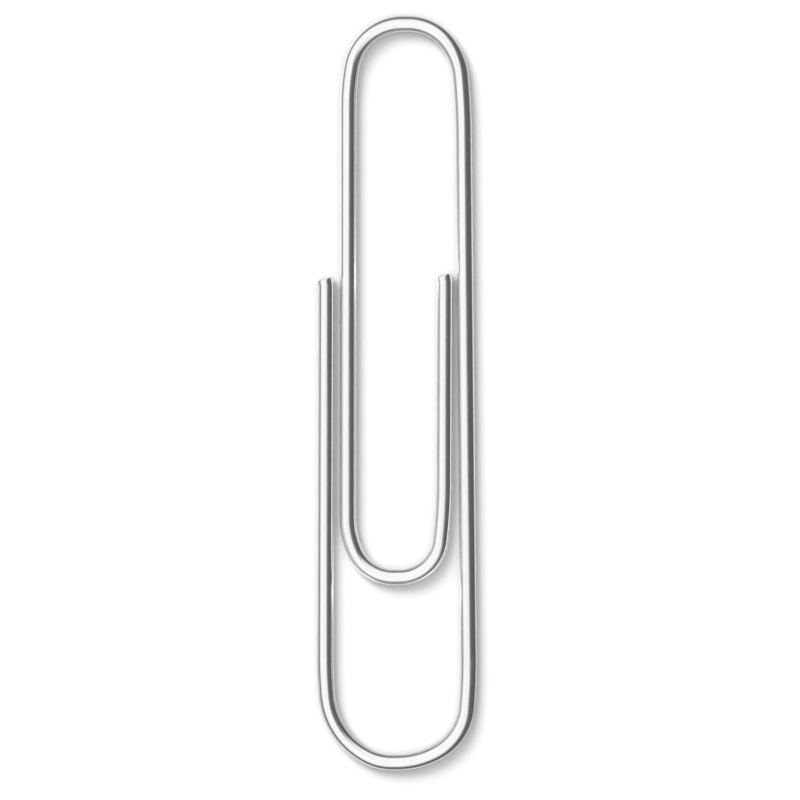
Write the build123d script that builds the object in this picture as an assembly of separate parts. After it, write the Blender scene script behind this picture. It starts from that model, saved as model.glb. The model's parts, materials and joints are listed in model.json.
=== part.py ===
from build123d import *
import os
from math import cos, radians, sin, tan

# Paper clip: one round steel wire bent three times into an inward spiral that lies flat on a surface.
# The wire is cut into legs and half-bends. The top of each bend, its crown, is where the wire twists.
# +Y runs up the clip to the single top bend, +X to the right, +Z up from the surface it lies on.

# Wire
wire_diameter = 1.1

# Lengths along the clip, between outer edges of the wire
overall_length = 50.0
tongue_length = 37.74
outer_arm_length = 32.56
inner_arm_length = 20.55

# Clear gaps between neighbouring legs at the height of the tips
outer_tip_gap = 0.345
tongue_eye_width = 5.32
inner_tip_gap = 0.22

# Leans in degrees: as they rise, the long leg leans to the left and the other legs to the right
long_leg_lean = 0.53
tongue_leg_lean = 0.05
outer_leg_lean = 0.16
inner_leg_lean = 0.2

# Straight stretch on each side of a crown, where the wire twists
crown_straight = 0.2

# How far each crown stands to the right of the middle between its legs
top_crown_shift = 0.022
tongue_crown_shift = 0.055
outer_crown_shift = -0.175

# Bends: each half turns through a corner and then a wider shoulder that runs into the leg.
# Turns are in degrees, and a ratio is that arc's radius over the corner's radius.
top_left_shoulder_turn = 10.0
top_left_shoulder_ratio = 4.4
top_right_shoulder_turn = 4.6
top_right_shoulder_ratio = 11.0
tongue_left_shoulder_turn = 24.7
tongue_left_shoulder_ratio = 2.03
tongue_right_shoulder_turn = 6.8
tongue_right_shoulder_ratio = 11.8
outer_left_shoulder_turn = 5.3
outer_left_shoulder_ratio = 6.3
outer_right_shoulder_turn = 5.7
outer_right_shoulder_ratio = 9.1

# Three halves have one more arc between crown and corner: two tighter, and a flatter one on the outer right
top_right_crown_turn = 50.0
top_right_crown_ratio = 0.75
outer_left_crown_turn = 26.7
outer_left_crown_ratio = 0.68
outer_right_crown_turn = 28.8
outer_right_crown_ratio = 1.47

# Sheared ends: cut square to the wire, whose last stretch the cutter has pushed over to the left.
# The turn of that stretch is in degrees.
tip_curl_length = 0.65
outer_tip_turn = 17.0
inner_tip_turn = 18.0
tip_edge_round = 0.1

LEFT, RIGHT = -1, 1
UP, DOWN = 1, -1
QUARTER_TURN = 90.0

# Places that follow from the sizes, before the clip is centred on its own box
wire_radius = wire_diameter / 2
tongue_bottom = overall_length - tongue_length
outer_tip_y = outer_arm_length
inner_tip_y = tongue_bottom + inner_arm_length


def tongue_leg_x(y):
    """Centre of the tongue's leg at a height y, measured from its place beside the outer tip."""
    return (y - outer_tip_y) * tan(radians(tongue_leg_lean))


outer_arm_tip_x = tongue_leg_x(outer_tip_y) - wire_diameter - outer_tip_gap
inner_arm_tip_x = tongue_leg_x(inner_tip_y) + wire_diameter + tongue_eye_width
long_leg_tip_x = inner_arm_tip_x + wire_diameter + inner_tip_gap


def long_leg_x(y):
    """Centre of the long leg at a height y."""
    return long_leg_tip_x - (y - inner_tip_y) * tan(radians(long_leg_lean))


def outer_arm_x(y):
    """Centre of the free outer leg at a height y."""
    return outer_arm_tip_x + (y - outer_tip_y) * tan(radians(outer_leg_lean))


def inner_arm_x(y):
    """Centre of the free inner leg at a height y."""
    return inner_arm_tip_x + (y - inner_tip_y) * tan(radians(inner_leg_lean))


def crown_between(left_x, right_x, y, shift):
    """Crown of a bend between two legs, with the wire's axis one radius above the surface."""
    return Vector((left_x + right_x) / 2 + shift, y, wire_radius)


def corner_radius(reach, lean, arcs):
    """Radius of the corner at which a chain of arcs ends on a leg that stands reach away from the crown."""
    across = along = turned = 0.0
    for turn, ratio in arcs:
        start, end = radians(turned), radians(turned + turn)
        across += ratio * (sin(end) - sin(start))
        along += ratio * (cos(start) - cos(end))
        turned += turn
    return (reach - crown_straight) / (across + along * tan(radians(lean)))


def half_bend_path(crown, side, rise, leg_x, lean, shoulder, crown_arc=None):
    """Centreline from a crown to the start of a leg: a short straight, then tangent arcs.

    side is the way the wire leaves the crown, rise the way its leg runs. lean is how far the leg
    leans in over the bend, in degrees. shoulder and crown_arc are (turn, ratio) pairs.
    """
    arcs = [crown_arc] if crown_arc else []
    corner_turn = QUARTER_TURN + lean - shoulder[0] - sum(turn for turn, _ in arcs)
    arcs += [(corner_turn, 1.0), shoulder]
    radius = corner_radius(side * (leg_x - crown.X), lean, arcs)
    path = Curve() + Line(crown, crown + Vector(side * crown_straight, 0, 0))
    end, heading = crown + Vector(side * crown_straight, 0, 0), Vector(side, 0, 0)
    for turn, ratio in arcs:
        arc = JernArc(end, heading, ratio * radius, side * rise * turn)
        path += arc
        end, heading = arc @ 1, arc % 1
    return path, end


def wire_along(path):
    """Round wire swept along a centreline."""
    section = Plane(origin=path @ 0, z_dir=path % 0) * Circle(wire_radius)
    return sweep(section, path=path)


def sheared_leg(start, tip_y, lean, turn):
    """Straight leg from a bend up to its sheared end, which the cutter has pushed over to the left.

    lean is how far the leg leans to the right as it rises, in degrees.
    """
    curl_radius = tip_curl_length / radians(turn)
    curl_rise = curl_radius * (sin(radians(turn - lean)) + sin(radians(lean)))
    heading = Vector(tan(radians(lean)), 1, 0)
    curl_start = start + heading * (tip_y - curl_rise - start.Y)
    curl = JernArc(curl_start, heading, curl_radius, turn)
    leg = wire_along(Curve() + Line(start, curl_start) + curl)
    end_face = leg.faces().sort_by(Axis.Y)[-1]
    return fillet(end_face.edges(), tip_edge_round)


# Crowns of the three bends
top_y = overall_length - wire_radius
top_crown = crown_between(tongue_leg_x(top_y), long_leg_x(top_y), top_y, top_crown_shift)
tongue_y = tongue_bottom + wire_radius
tongue_crown = crown_between(tongue_leg_x(tongue_y), inner_arm_x(tongue_y), tongue_y, tongue_crown_shift)
outer_y = wire_radius
outer_crown = crown_between(outer_arm_x(outer_y), long_leg_x(outer_y), outer_y, outer_crown_shift)

# Centrelines of the six half-bends
top_left, tongue_leg_top = half_bend_path(
    top_crown, LEFT, DOWN, tongue_leg_x(top_y), -tongue_leg_lean,
    (top_left_shoulder_turn, top_left_shoulder_ratio))
top_right, long_leg_top = half_bend_path(
    top_crown, RIGHT, DOWN, long_leg_x(top_y), -long_leg_lean,
    (top_right_shoulder_turn, top_right_shoulder_ratio),
    (top_right_crown_turn, top_right_crown_ratio))
tongue_left, tongue_leg_bottom = half_bend_path(
    tongue_crown, LEFT, UP, tongue_leg_x(tongue_y), tongue_leg_lean,
    (tongue_left_shoulder_turn, tongue_left_shoulder_ratio))
tongue_right, inner_arm_start = half_bend_path(
    tongue_crown, RIGHT, UP, inner_arm_x(tongue_y), -inner_leg_lean,
    (tongue_right_shoulder_turn, tongue_right_shoulder_ratio))
outer_left, outer_arm_start = half_bend_path(
    outer_crown, LEFT, UP, outer_arm_x(outer_y), outer_leg_lean,
    (outer_left_shoulder_turn, outer_left_shoulder_ratio),
    (outer_left_crown_turn, outer_left_crown_ratio))
outer_right, long_leg_bottom = half_bend_path(
    outer_crown, RIGHT, UP, long_leg_x(outer_y), long_leg_lean,
    (outer_right_shoulder_turn, outer_right_shoulder_ratio),
    (outer_right_crown_turn, outer_right_crown_ratio))

# The wire from its outer end to its inner end
pieces = {
    "free_outer_leg": sheared_leg(outer_arm_start, outer_tip_y, outer_leg_lean, outer_tip_turn),
    "outer_loop_left_half": wire_along(outer_left),
    "outer_loop_right_half": wire_along(outer_right),
    "long_leg": wire_along(Line(long_leg_bottom, long_leg_top)),
    "top_loop_right_half": wire_along(top_right),
    "top_loop_left_half": wire_along(top_left),
    "tongue_leg": wire_along(Line(tongue_leg_top, tongue_leg_bottom)),
    "tongue_loop_left_half": wire_along(tongue_left),
    "tongue_loop_right_half": wire_along(tongue_right),
    "free_inner_leg": sheared_leg(inner_arm_start, inner_tip_y, inner_leg_lean, inner_tip_turn),
}

# Centre the clip over its origin, resting on Z = 0
box = Compound(list(pieces.values())).bounding_box()
centring = Pos(-box.center().X, -box.center().Y, 0)

os.makedirs("parts", exist_ok=True)
for name, piece in pieces.items():
    export_step(centring * piece, f"parts/{name}.step")
    print(f"{name}: {piece.volume:.3f} mm3")

for name, crown in (("top", top_crown), ("tongue", tongue_crown), ("outer", outer_crown)):
    place = crown - Vector(box.center().X, box.center().Y, 0)
    print(f"{name} crown at {place.X:.4f}, {place.Y:.4f}, {place.Z:.4f} mm")
print(f"overall {box.size.X:.3f} x {box.size.Y:.3f} x {box.size.Z:.3f} mm")
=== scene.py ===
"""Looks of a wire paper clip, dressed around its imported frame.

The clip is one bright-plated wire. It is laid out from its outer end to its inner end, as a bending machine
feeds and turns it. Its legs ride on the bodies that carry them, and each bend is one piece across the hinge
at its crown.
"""

import json
import logging
import math
from abc import ABC, abstractmethod
from dataclasses import dataclass, field, replace
from enum import Enum
from typing import ClassVar

import bpy
import numpy as np
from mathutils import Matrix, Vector


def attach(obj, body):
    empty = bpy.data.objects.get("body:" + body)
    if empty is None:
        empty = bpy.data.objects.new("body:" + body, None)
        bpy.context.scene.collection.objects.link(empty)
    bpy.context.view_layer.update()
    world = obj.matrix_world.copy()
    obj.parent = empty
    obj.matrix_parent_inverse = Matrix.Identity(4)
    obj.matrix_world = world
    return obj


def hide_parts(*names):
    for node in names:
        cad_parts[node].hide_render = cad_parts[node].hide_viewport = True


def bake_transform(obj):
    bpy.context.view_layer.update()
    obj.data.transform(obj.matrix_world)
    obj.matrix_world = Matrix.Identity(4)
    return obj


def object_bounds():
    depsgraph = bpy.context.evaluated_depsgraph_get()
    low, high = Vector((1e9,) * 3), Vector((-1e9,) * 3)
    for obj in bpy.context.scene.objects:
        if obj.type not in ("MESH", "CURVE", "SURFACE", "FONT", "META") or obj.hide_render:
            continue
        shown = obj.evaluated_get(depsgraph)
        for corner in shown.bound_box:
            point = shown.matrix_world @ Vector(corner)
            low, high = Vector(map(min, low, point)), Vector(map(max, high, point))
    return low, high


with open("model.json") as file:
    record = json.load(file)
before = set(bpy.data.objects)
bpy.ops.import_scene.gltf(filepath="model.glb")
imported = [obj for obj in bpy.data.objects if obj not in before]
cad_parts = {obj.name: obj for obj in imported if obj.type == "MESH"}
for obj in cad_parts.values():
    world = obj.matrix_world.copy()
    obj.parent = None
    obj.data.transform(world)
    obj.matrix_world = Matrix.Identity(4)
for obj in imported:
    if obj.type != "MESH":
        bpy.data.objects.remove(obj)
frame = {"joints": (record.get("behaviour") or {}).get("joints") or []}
cad_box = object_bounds()

MM = 0.001
MICRON = 0.000001
QUARTER_TURN = 90.0
PLACE_ATTRIBUTE = "wire_place"
STRAIN_ATTRIBUTE = "bend_strain"
GLOW_ATTRIBUTE = "card_glow"
SOFT_ATTRIBUTE = "soft_light"
BAKE_MAP = "OFBake"
UP = np.array([0.0, 0.0, 1.0])
WHITE = (1.0, 1.0, 1.0, 1.0)

# Numbers of the sockets that a Mix node has for colours
MIX_SHARE, MIX_START, MIX_END, MIX_RESULT = 0, 6, 7, 2

Triple = tuple[float, float, float]
Colour = Triple
Material = bpy.types.Material
SceneObject = bpy.types.Object
Socket = bpy.types.NodeSocket
Sockets = bpy.types.NodeOutputs
Feed = float | tuple[float, ...] | Socket
Feeds = dict[str | int, Feed]

log = logging.getLogger("paper_clip")
joint_places = {joint["name"]: Vector(joint["pos_m"]) for joint in frame["joints"]}


class Body(Enum):
    """Bodies of the frame that carry the wire."""

    BACK_FRAME = "back_frame"
    TONGUE = "tongue"
    OUTER_ARM = "outer_arm"
    INNER_ARM = "inner_arm"


class Hinge(Enum):
    """Hinges of the frame, one in the crown of each bend."""

    TOP = "tongue_lift"
    OUTER = "outer_arm_lift"
    TONGUE = "inner_arm_lift"

    @property
    def place(self) -> Vector:
        """Where the hinge lies, in metres."""
        return joint_places[self.value]


class Work(Enum):
    """What was done to a stretch of wire, which sets its finish."""

    DRAWN = "drawn_wire"
    BENT = "bent_wire"
    SHEARED = "sheared_end"


class End(Enum):
    """End of the wire that a leg carries, with the way it faces along the run of the wire."""

    OUTER = -1
    INNER = 1


def new_object(name: str, data: bpy.types.ID) -> SceneObject:
    """Makes an object and links it to the scene.

    Args:
        name: its name.
        data: its mesh, lamp or camera.

    Returns:
        The new object, at the origin.
    """
    made = bpy.data.objects.new(name, data)
    bpy.context.scene.collection.objects.link(made)
    return made


def write_points(mesh: bpy.types.Mesh, name: str, values: np.ndarray) -> None:
    """Writes an attribute of a mesh's points: vectors where the values have columns, or else numbers."""
    kind, key = ("FLOAT_VECTOR", "vector") if values.ndim > 1 else ("FLOAT", "value")
    mesh.attributes.new(name, kind, "POINT").data.foreach_set(key, values.astype(np.float32).ravel())


def arc_reach(start: float, turn: float) -> np.ndarray:
    """Measures how far an arc of radius 1 reaches ahead and aside, from a start angle on, in degrees."""
    first, last = math.radians(start), math.radians(start + turn)
    return np.array([math.sin(last) - math.sin(first), math.cos(first) - math.cos(last)])


@dataclass(frozen=True)
class Wire:
    """Round wire and how finely its surface is meshed. Lengths are in metres.

    skin_clear keeps the finished surface inside the facets of the solid wire.
    """

    radius: float = 0.55 * MM
    skin_clear: float = 0.002 * MM
    facets: int = 64
    straight_step: float = 0.6 * MM
    bent_step: float = 0.1 * MM

    @property
    def skin_radius(self) -> float:
        """Radius of the finished surface."""
        return self.radius - self.skin_clear

    @property
    def angles(self) -> np.ndarray:
        """Angle of each point round the wire, from the outside of its bends over its top."""
        return np.arange(self.facets) * math.tau / self.facets


@dataclass(frozen=True)
class Station:
    """Place on the wire's axis, with its heading and curve there and its distance from the outer end."""

    x: float
    y: float
    heading: float
    along: float = 0.0
    curve: float = 0.0

    @property
    def ahead(self) -> np.ndarray:
        """Direction in which the wire runs on."""
        return np.array([math.cos(self.heading), math.sin(self.heading), 0.0])

    @property
    def side(self) -> np.ndarray:
        """Direction to the right of the run, which is the outside of every bend."""
        return np.array([math.sin(self.heading), -math.cos(self.heading), 0.0])


class Bender:
    """Feeds the wire and turns it, and keeps each station that it passes."""

    def __init__(self, wire: Wire, start: Station) -> None:
        """Holds the wire at the station of its outer end."""
        self.wire = wire
        self.stations = [start]

    @property
    def last(self) -> Station:
        """Where the wire has got to."""
        return self.stations[-1]

    def feed(self, length: float) -> None:
        """Lays a straight stretch.

        Args:
            length: its length in metres.
        """
        start = self.last
        steps = math.ceil(length / self.wire.straight_step)
        for step in range(1, steps + 1):
            gone = length * step / steps
            x = start.x + gone * math.cos(start.heading)
            y = start.y + gone * math.sin(start.heading)
            self.stations.append(Station(x, y, start.heading, start.along + gone))

    def turn(self, degrees: float, radius: float) -> None:
        """Lays an arc.

        Args:
            degrees: how far it turns, more than 0 to the left.
            radius: its radius in metres.
        """
        start = self.last
        curve = math.copysign(1 / radius, degrees)
        length = radius * math.radians(abs(degrees))
        steps = math.ceil(length / self.wire.bent_step)
        for step in range(1, steps + 1):
            gone = length * step / steps
            heading = start.heading + gone * curve
            x = start.x + (math.sin(heading) - math.sin(start.heading)) / curve
            y = start.y - (math.cos(heading) - math.cos(start.heading)) / curve
            self.stations.append(Station(x, y, heading, start.along + gone, curve))

    def hand_over(self) -> list[Station]:
        """Hands over the stations laid so far and goes on from the last one.

        Returns:
            The stations since the last time, with the one that both stretches share.
        """
        laid = self.stations
        self.stations = laid[-1:]
        return laid


@dataclass(frozen=True)
class Section:
    """Ring of points round the wire at a station.

    radii holds each point's distance from the axis, and pushes its shift along the axis. cut says that the
    ring lies on a sheared face.
    """

    station: Station
    radii: np.ndarray
    pushes: np.ndarray
    cut: bool = False


@dataclass
class WireSurface:
    """Mesh of a stretch of wire, made of the sections along it.

    A closed end gets a point in the middle of its last ring, and triangles to it. strain_reach is how many
    sections either way the end of a bend's strain is spread over.
    """

    wire: Wire
    sections: list[Section]
    closed: End | None = None
    bake_margin: float = 0.02
    strain_reach: int = 6

    @property
    def offsets(self) -> list[np.ndarray]:
        """Finds each point's place from its station.

        Returns:
            How far it is across, up and along the wire, each by sections and facets, in metres.
        """
        radii = np.array([section.radii for section in self.sections])
        pushes = np.array([section.pushes for section in self.sections])
        return [radii * np.cos(self.wire.angles), radii * np.sin(self.wire.angles), pushes]

    def rings(self) -> np.ndarray:
        """Works out where every ring's points lie.

        Returns:
            An array of sections by facets by 3, in metres.
        """
        made = []
        for section, across, upward, onward in zip(self.sections, *self.offsets):
            station = section.station
            centre = np.array([station.x, station.y, self.wire.radius])
            aside = np.outer(across, station.side) + np.outer(upward, UP)
            made.append(centre + aside + np.outer(onward, station.ahead))
        return np.array(made)

    def places(self) -> np.ndarray:
        """Works out every point's place on the straightened wire, for the patterns of its finish.

        Returns:
            An array of points by 3 in millimetres: across, up and along the wire.
        """
        across, upward, onward = self.offsets
        gone = np.array([section.station.along for section in self.sections])[:, None]
        return self.listed(np.stack([across, upward, gone + onward], -1)) / MM

    def listed(self, rings: np.ndarray) -> np.ndarray:
        """Lists the rings' points, and after them the middle of the closed end's last ring.

        Args:
            rings: an array of sections by facets by 3.

        Returns:
            An array of points by 3.
        """
        points = rings.reshape(-1, 3)
        if self.closed is None:
            return points
        return np.vstack([points, rings[0 if self.closed is End.OUTER else -1].mean(0)])

    def strains(self) -> np.ndarray:
        """Works out how far the bend has stretched the wire at every point, less than 0 where it is pressed.

        Returns:
            One number for each point.
        """
        curves = np.array([section.station.curve for section in self.sections])
        window = np.hanning(2 * self.strain_reach + 1)
        padded = np.pad(curves, self.strain_reach, mode="edge")
        smooth = np.convolve(padded, window / window.sum(), "valid")
        rings = np.outer(smooth * self.wire.radius, np.cos(self.wire.angles))
        return np.append(rings, [] if self.closed is None else [0.0])

    def quads(self) -> np.ndarray:
        """Numbers the corners of the faces between neighbouring rings.

        Returns:
            An array of faces by 4, row by row along the wire.
        """
        facets = self.wire.facets
        ring = np.arange(len(self.sections) - 1)[:, None] * facets
        here = np.arange(facets)[None]
        beside = (here + 1) % facets
        corners = [ring + here, ring + facets + here, ring + facets + beside, ring + beside]
        return np.stack(corners, -1).reshape(-1, 4)

    def fan(self) -> np.ndarray:
        """Numbers the corners of the triangles that close an end.

        Returns:
            An array of faces by 3, empty for a stretch that is open at both ends.
        """
        facets = self.wire.facets
        if self.closed is None:
            return np.empty((0, 3), int)
        here = np.arange(facets)
        beside = (here + 1) % facets
        middle = np.full(facets, len(self.sections) * facets)
        if self.closed is End.OUTER:
            return np.stack([middle, here, beside], 1)
        last = (len(self.sections) - 1) * facets
        return np.stack([middle, last + beside, last + here], 1)

    def bake_places(self, rings: np.ndarray) -> np.ndarray:
        """Unrolls the surface and lays it side by side in strips that fill a square map.

        Args:
            rings: the rings' points.

        Returns:
            An array of face corners by 2, first the quads' and then the fan's.
        """
        facets = self.wire.facets
        gone = np.append(0.0, np.cumsum(np.linalg.norm(np.diff(rings, axis=0), axis=2).mean(1)))
        girth = math.tau * self.wire.radius
        count = max(1, round(math.sqrt(gone[-1] / girth)))
        starts = np.searchsorted(gone, gone[-1] * np.arange(count) / count)
        lows, highs = gone[starts], gone[np.append(starts[1:], len(gone) - 1)]
        if self.closed is End.OUTER:
            lows[0] -= self.wire.radius
        elif self.closed is End.INNER:
            highs[-1] += self.wire.radius

        def spot(row: np.ndarray, turn: np.ndarray, distance: np.ndarray) -> np.ndarray:
            """Places corners in their strips, clear of the strips' edges.

            Args:
                row: the number of each corner's strip.
                turn: its share of the way round the wire.
                distance: its distance along the wire.

            Returns:
                An array of corners by 2.
            """
            inner = 1 - 2 * self.bake_margin
            across = (row + self.bake_margin + inner * turn) / count
            along = self.bake_margin + inner * (distance - lows[row]) / (highs[row] - lows[row])
            return np.stack([across, along], -1)

        strip = np.searchsorted(starts, np.arange(len(gone) - 1), side="right") - 1
        row = np.repeat(strip, facets)
        here = np.tile(np.arange(facets) / facets, len(strip))
        beside = here + 1 / facets
        near, far = np.repeat(gone[:-1], facets), np.repeat(gone[1:], facets)
        corners = ((here, near), (here, far), (beside, far), (beside, near))
        quads = np.stack([spot(row, *corner) for corner in corners], 1).reshape(-1, 2)
        if self.closed is None:
            return quads
        row, edge = (0, gone[0]) if self.closed is End.OUTER else (count - 1, gone[-1])
        row, edge = np.full(facets, row), np.full(facets, edge)
        here, beside = here[:facets], beside[:facets]
        middle = spot(row, (here + beside) / 2, edge + self.closed.value * self.wire.radius)
        sides = [spot(row, here, edge), spot(row, beside, edge)][::-self.closed.value]
        return np.concatenate([quads, np.stack([middle, *sides], 1).reshape(-1, 2)])

    def make(self, name: str) -> SceneObject:
        """Makes the object, smooth and with its bake map and the places that its finish reads.

        Args:
            name: the piece's name.

        Returns:
            The new object, in the scene and at the origin.
        """
        rings, fan = self.rings(), self.fan()
        mesh = bpy.data.meshes.new(name)
        mesh.from_pydata(self.listed(rings).tolist(), [], self.quads().tolist() + fan.tolist())
        cuts = np.array([section.cut for section in self.sections])
        cut_rows = np.repeat(cuts[:-1] & cuts[1:], self.wire.facets)
        cut_faces = np.concatenate([cut_rows, np.ones(len(fan), bool)])
        mesh.polygons.foreach_set("material_index", cut_faces.astype(np.int32))
        mesh.polygons.foreach_set("use_smooth", np.ones(len(mesh.polygons), bool))
        layer = mesh.uv_layers.new(name=BAKE_MAP)
        layer.uv.foreach_set("vector", self.bake_places(rings).astype(np.float32).ravel())
        write_points(mesh, PLACE_ATTRIBUTE, self.places())
        write_points(mesh, STRAIN_ATTRIBUTE, self.strains())
        mesh.update()
        return new_object(name, mesh)


class NodeSheet:
    """Adds nodes to one node tree and joins them."""

    def __init__(self, tree: bpy.types.NodeTree) -> None:
        """Empties the node tree of a material, a world or a group."""
        self.tree = tree
        self.tree.nodes.clear()

    def add(self, kind: str, feeds: Feeds | None = None, **settings: object) -> bpy.types.Node:
        """Adds a node.

        Args:
            kind: the node's type.
            feeds: what goes into its input sockets, by their names or numbers: a value, or an output socket.
            settings: the node's own settings.

        Returns:
            The new node.
        """
        node = self.tree.nodes.new(kind)
        for name, value in settings.items():
            setattr(node, name, value)
        for socket, feed in (feeds or {}).items():
            if isinstance(feed, Socket):
                self.tree.links.new(feed, node.inputs[socket])
            else:
                node.inputs[socket].default_value = feed
        return node

    def math(self, operation: str, *feeds: Feed, clamp: bool = False) -> Socket:
        """Adds a Math node that works on feeds in order, and clamps its result to 0 to 1 if wanted."""
        settings = {"operation": operation, "use_clamp": clamp}
        return self.add("ShaderNodeMath", dict(enumerate(feeds)), **settings).outputs[0]

    def vector(self, operation: str, *feeds: Feed) -> Socket:
        """Adds a Vector Math node that works on feeds in order."""
        return self.add("ShaderNodeVectorMath", dict(enumerate(feeds)), operation=operation).outputs[0]

    def noise(self, where: Feed, detail: float = 2.0, roughness: float = 0.5) -> Socket:
        """Adds a noise of about one cycle per unit, from 0 to 1, with finer noises of a given strength."""
        feeds = {"Vector": where, "Scale": 1.0, "Detail": detail, "Roughness": roughness}
        return self.add("ShaderNodeTexNoise", feeds).outputs[0]

    def wire_noise(self, per_mm: Triple, detail: float = 2.0, roughness: float = 0.5) -> Socket:
        """Adds a noise of so many cycles per millimetre across, up and along the wire."""
        return self.noise(self.vector("MULTIPLY", self.wire_place(), per_mm), detail, roughness)

    def ramp(self, value: Feed, low: float, high: float) -> Socket:
        """Adds a smooth step, from 0 at the low value to 1 at the high one."""
        feeds = {"Value": value, "From Min": low, "From Max": high}
        return self.add("ShaderNodeMapRange", feeds, interpolation_type="SMOOTHSTEP").outputs[0]

    def bump(self, height: Feed, distance: float, normal: Feed | None = None) -> Socket:
        """Adds a relief to a normal, from a height of 0 to 1 and the distance in metres that 1 stands for."""
        feeds = {"Height": height, "Distance": distance, "Strength": 1.0}
        return self.add("ShaderNodeBump", feeds if normal is None else feeds | {"Normal": normal}).outputs[0]

    def blend_colours(self, share: Feed, start: Feed, end: Feed) -> Socket:
        """Adds a mix of two colours.

        Args:
            share: how much of the end colour shows.
            start: the colour at 0.
            end: the colour at 1.

        Returns:
            The mixed colour.
        """
        start, end = ((*feed, 1.0) if isinstance(feed, tuple) else feed for feed in (start, end))
        feeds = {MIX_SHARE: share, MIX_START: start, MIX_END: end}
        return self.add("ShaderNodeMix", feeds, data_type="RGBA").outputs[MIX_RESULT]

    def attribute(self, name: str, output: str = "Fac") -> Socket:
        """Reads an attribute of the mesh."""
        return self.add("ShaderNodeAttribute", attribute_name=name).outputs[output]

    def wire_place(self) -> Socket:
        """Reads the place on the straightened wire, in millimetres."""
        return self.attribute(PLACE_ATTRIBUTE, "Vector")

    def before_table(self) -> Socket:
        """Gives 1 for rays that haven't met the table yet, or any other matt surface, and 0 after that."""
        return self.math("LESS_THAN", self.add("ShaderNodeLightPath").outputs["Diffuse Depth"], 1.0)

    def seen_directly(self) -> Socket:
        """Tells the rays of the camera, of reflections and of glass from the rays that light other surfaces.

        Returns:
            1 for the first kind, 0 for the second.
        """
        path = self.add("ShaderNodeLightPath").outputs
        mirrored = self.math("MAXIMUM", path["Is Glossy Ray"], path["Is Transmission Ray"])
        shown = self.math("MAXIMUM", path["Is Camera Ray"], mirrored)
        return self.math("MULTIPLY", shown, self.before_table())

    def metal(self, colour: Feed, roughness: Feed, normal: Feed) -> None:
        """Ends a material as metal."""
        feeds = {"Base Color": colour, "Metallic": 1.0, "Roughness": roughness, "Normal": normal}
        self.show(self.add("ShaderNodeBsdfPrincipled", feeds))

    def show(self, shader: bpy.types.Node, output: str = "ShaderNodeOutputMaterial") -> None:
        """Ends the tree with a shader."""
        self.add(output, {"Surface": shader.outputs[0]})


def new_material(name: str) -> tuple[Material, NodeSheet]:
    """Makes an empty material.

    Args:
        name: its name.

    Returns:
        The material, and the sheet for its nodes.
    """
    made = bpy.data.materials.new(name)
    made.use_nodes = True
    return made, NodeSheet(made.node_tree)


class SurfaceEffect(ABC):
    """Pattern on the wire's surface that several finishes use, as one node group."""

    name: str
    inputs: dict[str, float]
    outputs: tuple[str, ...]

    def __init__(self) -> None:
        """Makes the node group, with its sockets and its pattern."""
        self.group = bpy.data.node_groups.new(self.name, "ShaderNodeTree")
        for socket, start in self.inputs.items():
            made = self.group.interface.new_socket(socket, in_out="INPUT", socket_type="NodeSocketFloat")
            made.default_value = start
        for socket in self.outputs:
            self.group.interface.new_socket(socket, in_out="OUTPUT", socket_type="NodeSocketFloat")
        sheet = NodeSheet(self.group)
        given = sheet.add("NodeGroupInput").outputs
        sheet.add("NodeGroupOutput", self.draw(sheet, given))

    @abstractmethod
    def draw(self, sheet: NodeSheet, given: Sockets) -> dict[str, Socket]:
        """Draws the pattern from the group's given values, and says what each of its outputs shows."""

    def place(self, sheet: NodeSheet, **values: float) -> Sockets:
        """Places the group in a material, with its input values, which are named with _ for a space."""
        feeds = {name.replace("_", " "): value for name, value in values.items()}
        return sheet.add("ShaderNodeGroup", feeds, node_tree=self.group).outputs


class DrawLines(SurfaceEffect):
    """Fine lines along the wire that the drawing die leaves."""

    name = "Draw lines"
    inputs = {"Lines per mm": 12.0, "Streak length": 8.0}
    outputs = ("Height", "Streaks")
    line_detail = 3.0
    line_roughness = 0.6
    widening = (0.27, 0.27, 0.8)
    streak_range = (0.5, 0.72)

    def draw(self, sheet: NodeSheet, given: Sockets) -> dict[str, Socket]:
        """Draws noise that is squeezed round the wire and stretched along it.

        Args:
            sheet: the group's nodes.
            given: lines per millimetre of girth, and how long a streak runs in millimetres.

        Returns:
            The relief of the lines, and a mask of the wider, duller streaks among them.
        """
        lines, pace = given["Lines per mm"], sheet.math("DIVIDE", 1.0, given["Streak length"])
        squeeze = sheet.add("ShaderNodeCombineXYZ", {"X": lines, "Y": lines, "Z": pace}).outputs[0]
        fine = sheet.vector("MULTIPLY", sheet.wire_place(), squeeze)
        wide = sheet.vector("MULTIPLY", fine, self.widening)
        return {"Height": sheet.noise(fine, self.line_detail, self.line_roughness),
                "Streaks": sheet.ramp(sheet.noise(wide), *self.streak_range)}


class PlatingMottle(SurfaceEffect):
    """Cloudy patches and slow waves in the plating."""

    name = "Plating mottle"
    inputs = {"Patch size": 0.7, "Wave length": 3.0}
    outputs = ("Tone", "Waves")
    patch_detail = 4.0
    wave_detail = 1.0
    noise_roughness = 0.55
    tone_range = (0.35, 0.75)

    def draw(self, sheet: NodeSheet, given: Sockets) -> dict[str, Socket]:
        """Draws two noises of different size.

        Args:
            sheet: the group's nodes.
            given: the sizes of a patch and of a wave, in millimetres.

        Returns:
            How dull a patch is, and the relief of the waves.
        """
        noises = []
        for size, detail in (("Patch size", self.patch_detail), ("Wave length", self.wave_detail)):
            feeds = {0: sheet.wire_place(), "Scale": sheet.math("DIVIDE", 1.0, given[size])}
            scaled = sheet.add("ShaderNodeVectorMath", feeds, operation="SCALE").outputs[0]
            noises.append(sheet.noise(scaled, detail, self.noise_roughness))
        return {"Tone": sheet.ramp(noises[0], *self.tone_range), "Waves": noises[1]}


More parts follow.
